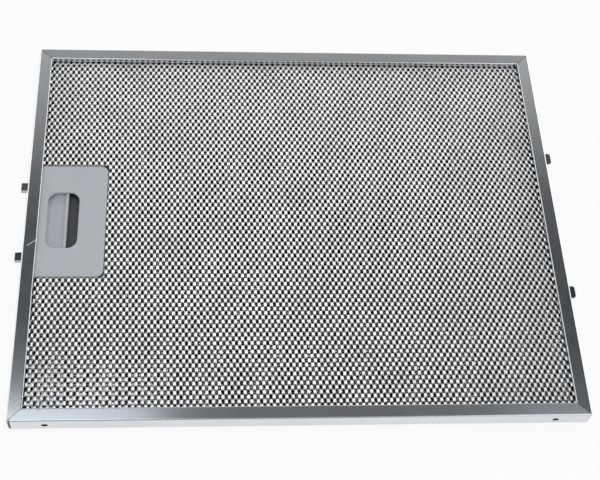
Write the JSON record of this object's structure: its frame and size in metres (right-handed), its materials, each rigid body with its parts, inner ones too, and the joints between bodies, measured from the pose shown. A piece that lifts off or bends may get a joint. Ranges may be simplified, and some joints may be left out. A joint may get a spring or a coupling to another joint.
{
  "type": "cooker hood grease filter",
  "caption": "Flat rectangular grease filter for a cooker hood: folded metal frame round a pack of expanded mesh, with a finger handle and a sprung latch on one side and lugs on the other.",
  "frame": {"origin": "middle of the rear face that the filter lies on, under the centre of its box", "axes": "+X along the long side from the latch to the lugs, +Y from the front side to the rear side, +Z out of the face with the finger opening"},
  "size_m": [0.3292, 0.26, 0.01],
  "materials": {
    "frame": "satin",
    "mesh": "bright rolled",
    "handle": "matt",
    "slider": "matt",
    "bolt": "satin",
    "spring": "drawn wire",
    "lug": "satin"
  },
  "bodies": {
    "filter": {"frame": "frame", "front_mesh": "mesh", "front_inner_mesh": "mesh", "core_mesh": "mesh", "rear_inner_mesh": "mesh", "rear_mesh": "mesh", "handle_plate": "handle", "handle_tray": "handle", "return_spring_front": "spring", "return_spring_rear": "spring", "retaining_lug_front": "lug", "retaining_lug_rear": "lug"},
    "latch": {"latch_slider": "slider", "latch_bolt_front": "bolt", "latch_bolt_rear": "bolt"}
  },
  "joints": [
    {"name": "latch_slide", "type": "slide", "parent": "filter", "child": "latch", "axis": [1, 0, 0], "range_m": [0, 0.005], "stiffness_N_per_m": 600, "springref_m": -0.006, "deforming": ["return_spring_front", "return_spring_rear"]}
  ]
}
